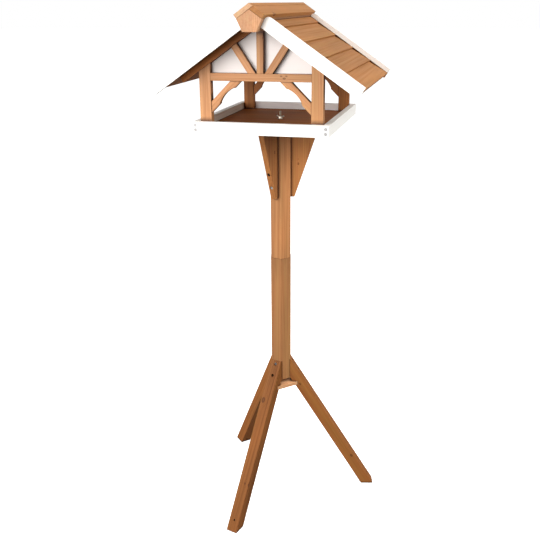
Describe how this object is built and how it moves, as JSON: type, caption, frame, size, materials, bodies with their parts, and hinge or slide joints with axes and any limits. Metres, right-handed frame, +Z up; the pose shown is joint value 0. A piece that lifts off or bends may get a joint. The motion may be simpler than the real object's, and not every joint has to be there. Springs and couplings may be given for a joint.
{
  "type": "bird table",
  "caption": "Wooden bird table: an open gabled house with boarded roof over a white-edged tray, on a six-sided post with gussets and splayed legs, turning on a bolt with a wing nut.",
  "frame": {"origin": "point on the ground under the post's axis, which is also the axis on which the house turns", "axes": "+Z up along the post; -Y towards the front gable of the house; +X to the right as seen from the front"},
  "size_m": [0.5426, 0.5519, 1.4315],
  "materials": {
    "stained_pine": "clear orange-brown stain on planed pine",
    "brown_pine": "darker brown stain on planed pine",
    "pale_wood": "bare pale pine",
    "dark_board": "dark reddish-brown stain",
    "white_paint": "white opaque paint, satin",
    "zinc_steel": "bright zinc plating"
  },
  "bodies": {
    "stand": {"post_upper": "stained_pine", "post_lower": "stained_pine", "post_dowel": "pale_wood", "gusset_right": "brown_pine", "gusset_back": "brown_pine", "gusset_front": "brown_pine", "leg_right": "brown_pine", "leg_back": "brown_pine", "leg_front": "brown_pine", "leg_screw_right": "zinc_steel", "leg_screw_back": "zinc_steel", "leg_screw_front": "zinc_steel", "leg_spacer": "pale_wood", "hanger_bolt": "zinc_steel"},
    "house": {"tray_board_front": "white_paint", "tray_board_back": "white_paint", "tray_board_left": "white_paint", "tray_board_right": "white_paint", "tray_floor": "dark_board", "corner_post_front_left": "stained_pine", "corner_post_front_right": "stained_pine", "corner_post_back_left": "stained_pine", "corner_post_back_right": "stained_pine", "tie_beam_front": "stained_pine", "tie_beam_back": "stained_pine", "king_post_front": "stained_pine", "king_post_back": "stained_pine", "strut_front_left": "stained_pine", "strut_front_right": "stained_pine", "strut_back_left": "stained_pine", "strut_back_right": "stained_pine", "gable_panel_front": "white_paint", "gable_panel_back": "white_paint", "brace_front_left": "stained_pine", "brace_front_right": "stained_pine", "brace_back_left": "stained_pine", "brace_back_right": "stained_pine", "rafter_front_left": "brown_pine", "rafter_front_right": "brown_pine", "rafter_back_left": "brown_pine", "rafter_back_right": "brown_pine", "bargeboard_front_left": "white_paint", "bargeboard_front_right": "white_paint", "bargeboard_back_left": "white_paint", "bargeboard_back_right": "white_paint", "roof_plank_left_1": "stained_pine", "roof_plank_left_2": "stained_pine", "roof_plank_left_3": "stained_pine", "roof_plank_left_4": "stained_pine", "roof_plank_left_5": "stained_pine", "roof_plank_right_1": "stained_pine", "roof_plank_right_2": "stained_pine", "roof_plank_right_3": "stained_pine", "roof_plank_right_4": "stained_pine", "roof_plank_right_5": "stained_pine", "ridge_cap_left": "stained_pine", "ridge_cap_right": "stained_pine", "ridge_beam": "pale_wood"},
    "nut_lift": {"nut_washer": "zinc_steel"},
    "wing_nut": {"wing_nut": "zinc_steel"}
  },
  "joints": [
    {"name": "house_turn", "type": "hinge", "parent": "stand", "child": "house", "pos_m": [0, 0, 1.13], "axis": [0, 0, 1], "continuous": true},
    {"name": "nut_travel", "type": "slide", "parent": "stand", "child": "nut_lift", "axis": [0, 0, 1], "range_m": [0, 0.0121]},
    {"name": "wing_nut_turn", "type": "hinge", "parent": "nut_lift", "child": "wing_nut", "pos_m": [0, 0, 1.1418], "axis": [0, 0, 1], "range_deg": [0, 5400]}
  ],
  "couplings": [
    {"joint": "nut_travel", "follows": "wing_nut_turn", "m_per_rad": 0.00012732}
  ]
}
